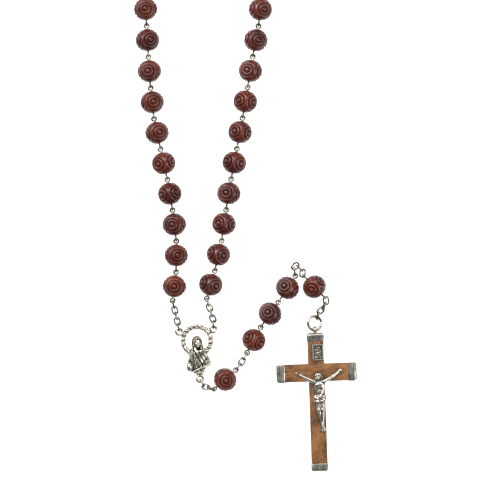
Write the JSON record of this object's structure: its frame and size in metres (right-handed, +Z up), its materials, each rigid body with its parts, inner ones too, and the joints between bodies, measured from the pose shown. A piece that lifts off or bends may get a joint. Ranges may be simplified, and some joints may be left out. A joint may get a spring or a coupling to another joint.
{
  "type": "rosary",
  "caption": "Rosary of carved wooden beads on linked eye pins, with a cast centre medal, a beaded pendant and a metal-capped wooden crucifix.",
  "frame": {"origin": "middle of the centre medal's flat back, on the table the rosary lies on", "axes": "+Z up from the table, +Y from the medal up the loop of beads, +X to the right as seen from above"},
  "size_m": [0.0923, 0.3237, 0.0079],
  "materials": {
    "bead_wood": "satin",
    "cross_wood": "satin",
    "plated_wire": "polished",
    "antique_silver": "antiqued",
    "cap_metal": "polished"
  },
  "bodies": {
    "medal": {"medal": "antique_silver"},
    "left_chain": {"left_chain": "plated_wire"},
    "decade_1_low": {"decade_1_low_pins": "plated_wire", "decade_1_low_beads": "bead_wood"},
    "decade_1_mid": {"decade_1_mid_pins": "plated_wire", "decade_1_mid_beads": "bead_wood"},
    "decade_1_high": {"decade_1_high_pins": "plated_wire", "decade_1_high_beads": "bead_wood"},
    "our_father_1": {"our_father_1_wires": "plated_wire"},
    "our_father_1_bead": {"our_father_1_bead": "bead_wood"},
    "decade_2_low": {"decade_2_low_pins": "plated_wire", "decade_2_low_beads": "bead_wood"},
    "decade_2_high": {"decade_2_high_pins": "plated_wire", "decade_2_high_beads": "bead_wood"},
    "our_father_2": {"our_father_2_wires": "plated_wire"},
    "our_father_2_bead": {"our_father_2_bead": "bead_wood"},
    "decade_3_left": {"decade_3_left_pins": "plated_wire", "decade_3_left_beads": "bead_wood"},
    "right_chain": {"right_chain": "plated_wire"},
    "decade_5_low": {"decade_5_low_pins": "plated_wire", "decade_5_low_beads": "bead_wood"},
    "decade_5_mid": {"decade_5_mid_pins": "plated_wire", "decade_5_mid_beads": "bead_wood"},
    "decade_5_high": {"decade_5_high_pins": "plated_wire", "decade_5_high_beads": "bead_wood"},
    "our_father_4": {"our_father_4_wires": "plated_wire"},
    "our_father_4_bead": {"our_father_4_bead": "bead_wood"},
    "decade_4_low": {"decade_4_low_pins": "plated_wire", "decade_4_low_beads": "bead_wood"},
    "decade_4_high": {"decade_4_high_pins": "plated_wire", "decade_4_high_beads": "bead_wood"},
    "our_father_3": {"our_father_3_wires": "plated_wire"},
    "our_father_3_bead": {"our_father_3_bead": "bead_wood"},
    "decade_3_right": {"decade_3_right_pins": "plated_wire", "decade_3_right_beads": "bead_wood"},
    "pendant_chain_1": {"pendant_chain_1": "plated_wire"},
    "pendant_1": {"pendant_1_pin": "plated_wire"},
    "pendant_1_bead": {"pendant_1_bead": "bead_wood"},
    "pendant_chain_2": {"pendant_chain_2": "plated_wire"},
    "pendant_2": {"pendant_2_pin": "plated_wire"},
    "pendant_2_bead": {"pendant_2_bead": "bead_wood"},
    "pendant_3": {"pendant_3_pin": "plated_wire"},
    "pendant_3_bead": {"pendant_3_bead": "bead_wood"},
    "pendant_4": {"pendant_4_pin": "plated_wire"},
    "pendant_4_bead": {"pendant_4_bead": "bead_wood"},
    "pendant_chain_3": {"pendant_chain_3": "plated_wire"},
    "pendant_5": {"pendant_5_pin": "plated_wire"},
    "pendant_5_bead": {"pendant_5_bead": "bead_wood"},
    "pendant_chain_4": {"pendant_chain_4": "plated_wire"},
    "jump_ring": {"jump_ring": "plated_wire"},
    "crucifix": {"crucifix_post": "cross_wood", "crucifix_bar": "cross_wood", "cap_top": "cap_metal", "cap_foot": "cap_metal", "cap_left": "cap_metal", "cap_right": "cap_metal", "corpus": "antique_silver", "title_plate": "antique_silver", "nails": "plated_wire"}
  },
  "joints": [
    {"name": "left_chain_lift", "type": "hinge", "parent": "medal", "child": "left_chain", "pos_m": [-0.00618, 0.00783, 0.0012], "axis": [0.9903, 0.1392, 0], "range_deg": [-50, 60]},
    {"name": "decade_1_low_turn", "type": "hinge", "parent": "left_chain", "child": "decade_1_low", "pos_m": [-0.00801, 0.01679, 0.0038], "axis": [0, 0, 1], "range_deg": [0, 35]},
    {"name": "decade_1_mid_lift", "type": "hinge", "parent": "decade_1_low", "child": "decade_1_mid", "pos_m": [-0.00815, 0.04637, 0.0038], "axis": [-0.9855, -0.1696, 0], "range_deg": [-50, 50]},
    {"name": "decade_1_high_lift", "type": "hinge", "parent": "decade_1_mid", "child": "decade_1_high", "pos_m": [-0.01404, 0.0755, 0.0038], "axis": [0.9938, 0.1113, 0], "range_deg": [-50, 50]},
    {"name": "our_father_1_lift", "type": "hinge", "parent": "decade_1_high", "child": "our_father_1", "pos_m": [-0.01689, 0.11503, 0.0038], "axis": [-0.9993, -0.0386, 0], "range_deg": [-50, 50]},
    {"name": "decade_2_low_turn", "type": "hinge", "parent": "our_father_1", "child": "decade_2_low", "pos_m": [-0.01927, 0.13637, 0.0038], "axis": [0, 0, 1], "range_deg": [0, 30]},
    {"name": "decade_2_high_lift", "type": "hinge", "parent": "decade_2_low", "child": "decade_2_high", "pos_m": [-0.02942, 0.18486, 0.0038], "axis": [0.9879, 0.1548, 0], "range_deg": [-50, 50]},
    {"name": "our_father_2_lift", "type": "hinge", "parent": "decade_2_high", "child": "our_father_2", "pos_m": [-0.03684, 0.23385, 0.0038], "axis": [-0.9811, -0.1935, 0], "range_deg": [-50, 50]},
    {"name": "decade_3_left_turn", "type": "hinge", "parent": "our_father_2", "child": "decade_3_left", "pos_m": [-0.03628, 0.2551, 0.0038], "axis": [0, 0, 1], "range_deg": [-40, 40]},
    {"name": "right_chain_lift", "type": "hinge", "parent": "medal", "child": "right_chain", "pos_m": [0.00493, 0.0087, 0.0012], "axis": [0.9994, -0.0349, 0], "range_deg": [-50, 60]},
    {"name": "decade_5_low_turn", "type": "hinge", "parent": "right_chain", "child": "decade_5_low", "pos_m": [0.00283, 0.01749, 0.0038], "axis": [0, 0, 1], "range_deg": [-35, 0]},
    {"name": "decade_5_mid_lift", "type": "hinge", "parent": "decade_5_low", "child": "decade_5_mid", "pos_m": [0.00911, 0.0465, 0.0038], "axis": [-0.9864, 0.1642, 0], "range_deg": [-50, 50]},
    {"name": "decade_5_high_lift", "type": "hinge", "parent": "decade_5_mid", "child": "decade_5_high", "pos_m": [0.01438, 0.07576, 0.0038], "axis": [0.9864, -0.1641, 0], "range_deg": [-50, 50]},
    {"name": "our_father_4_lift", "type": "hinge", "parent": "decade_5_high", "child": "our_father_4", "pos_m": [0.02052, 0.11491, 0.0038], "axis": [-0.9971, 0.076, 0], "range_deg": [-50, 50]},
    {"name": "decade_4_low_turn", "type": "hinge", "parent": "our_father_4", "child": "decade_4_low", "pos_m": [0.02266, 0.13629, 0.0038], "axis": [0, 0, 1], "range_deg": [-30, 0]},
    {"name": "decade_4_high_lift", "type": "hinge", "parent": "decade_4_low", "child": "decade_4_high", "pos_m": [0.02927, 0.18539, 0.0038], "axis": [0.983, -0.1838, 0], "range_deg": [-50, 50]},
    {"name": "our_father_3_lift", "type": "hinge", "parent": "decade_4_high", "child": "our_father_3", "pos_m": [0.03862, 0.23404, 0.0038], "axis": [-0.9894, 0.1451, 0], "range_deg": [-50, 50]},
    {"name": "decade_3_right_turn", "type": "hinge", "parent": "our_father_3", "child": "decade_3_right", "pos_m": [0.03762, 0.2553, 0.0038], "axis": [0, 0, 1], "range_deg": [-40, 40]},
    {"name": "pendant_chain_1_lift", "type": "hinge", "parent": "medal", "child": "pendant_chain_1", "pos_m": [0.00115, -0.00914, 0.0012], "axis": [-0.866, -0.5, 0], "range_deg": [-45, 45]},
    {"name": "pendant_1_turn", "type": "hinge", "parent": "pendant_chain_1", "child": "pendant_1", "pos_m": [0.00528, -0.01138, 0.0038], "axis": [0, 0, 1], "range_deg": [-26, 8]},
    {"name": "pendant_chain_2_lift", "type": "hinge", "parent": "pendant_1", "child": "pendant_chain_2", "pos_m": [0.01255, -0.00466, 0.0038], "axis": [-0.788, 0.6157, 0], "range_deg": [-50, 50]},
    {"name": "pendant_2_turn", "type": "hinge", "parent": "pendant_chain_2", "child": "pendant_2", "pos_m": [0.0157, 0.00018, 0.0038], "axis": [0, 0, 1], "range_deg": [-40, 15]},
    {"name": "pendant_3_lift", "type": "hinge", "parent": "pendant_2", "child": "pendant_3", "pos_m": [0.02043, 0.00888, 0.0038], "axis": [0.8192, -0.5736, 0], "range_deg": [-50, 50]},
    {"name": "pendant_4_turn", "type": "hinge", "parent": "pendant_3", "child": "pendant_4", "pos_m": [0.02572, 0.01645, 0.0038], "axis": [0, 0, 1], "range_deg": [-15, 30]},
    {"name": "pendant_chain_3_lift", "type": "hinge", "parent": "pendant_4", "child": "pendant_chain_3", "pos_m": [0.03097, 0.02543, 0.0038], "axis": [-0.9848, -0.1736, 0], "range_deg": [-40, 50]},
    {"name": "pendant_5_turn", "type": "hinge", "parent": "pendant_chain_3", "child": "pendant_5", "pos_m": [0.03346, 0.02505, 0.0038], "axis": [0, 0, 1], "range_deg": [-10, 40]},
    {"name": "pendant_chain_4_lift", "type": "hinge", "parent": "pendant_5", "child": "pendant_chain_4", "pos_m": [0.0407, 0.0181, 0.00375], "axis": [-0.9903, -0.1392, 0], "range_deg": [-40, 50]},
    {"name": "jump_ring_lift", "type": "hinge", "parent": "pendant_chain_4", "child": "jump_ring", "pos_m": [0.03819, 0.01154, 0.00195], "axis": [0.9135, -0.4067, 0], "range_deg": [-50, 50]},
    {"name": "crucifix_lift", "type": "hinge", "parent": "jump_ring", "child": "crucifix", "pos_m": [0.03739, 0.00735, 0.0023], "axis": [-0.9994, -0.0349, 0], "range_deg": [-60, 70]},
    {"name": "our_father_1_bead_spin", "type": "hinge", "parent": "our_father_1", "child": "our_father_1_bead", "pos_m": [-0.01769, 0.12541, 0.0038], "axis": [-0.1024, 0.9947, 0], "continuous": true},
    {"name": "our_father_2_bead_spin", "type": "hinge", "parent": "our_father_2", "child": "our_father_2_bead", "pos_m": [-0.03773, 0.24417, 0.0038], "axis": [0.0149, 0.9999, 0], "continuous": true},
    {"name": "our_father_4_bead_spin", "type": "hinge", "parent": "our_father_4", "child": "our_father_4_bead", "pos_m": [0.02147, 0.12527, 0.0038], "axis": [0.1041, 0.9946, 0], "continuous": true},
    {"name": "our_father_3_bead_spin", "type": "hinge", "parent": "our_father_3", "child": "our_father_3_bead", "pos_m": [0.03923, 0.2444, 0.0038], "axis": [-0.0314, 0.9995, 0], "continuous": true},
    {"name": "pendant_1_bead_spin", "type": "hinge", "parent": "pendant_1", "child": "pendant_1_bead", "pos_m": [0.00871, -0.00829, 0.0038], "axis": [0.7431, 0.6691, 0], "continuous": true},
    {"name": "pendant_2_bead_spin", "type": "hinge", "parent": "pendant_2", "child": "pendant_2_bead", "pos_m": [0.01787, 0.00426, 0.0038], "axis": [0.4695, 0.8829, 0], "continuous": true},
    {"name": "pendant_3_bead_spin", "type": "hinge", "parent": "pendant_3", "child": "pendant_3_bead", "pos_m": [0.02308, 0.01267, 0.0038], "axis": [0.5736, 0.8192, 0], "continuous": true},
    {"name": "pendant_4_bead_spin", "type": "hinge", "parent": "pendant_4", "child": "pendant_4_bead", "pos_m": [0.02861, 0.02089, 0.0038], "axis": [0.5446, 0.8387, 0], "continuous": true},
    {"name": "pendant_5_bead_spin", "type": "hinge", "parent": "pendant_5", "child": "pendant_5_bead", "pos_m": [0.03714, 0.02124, 0.0038], "axis": [0.6947, -0.7193, 0], "continuous": true}
  ]
}
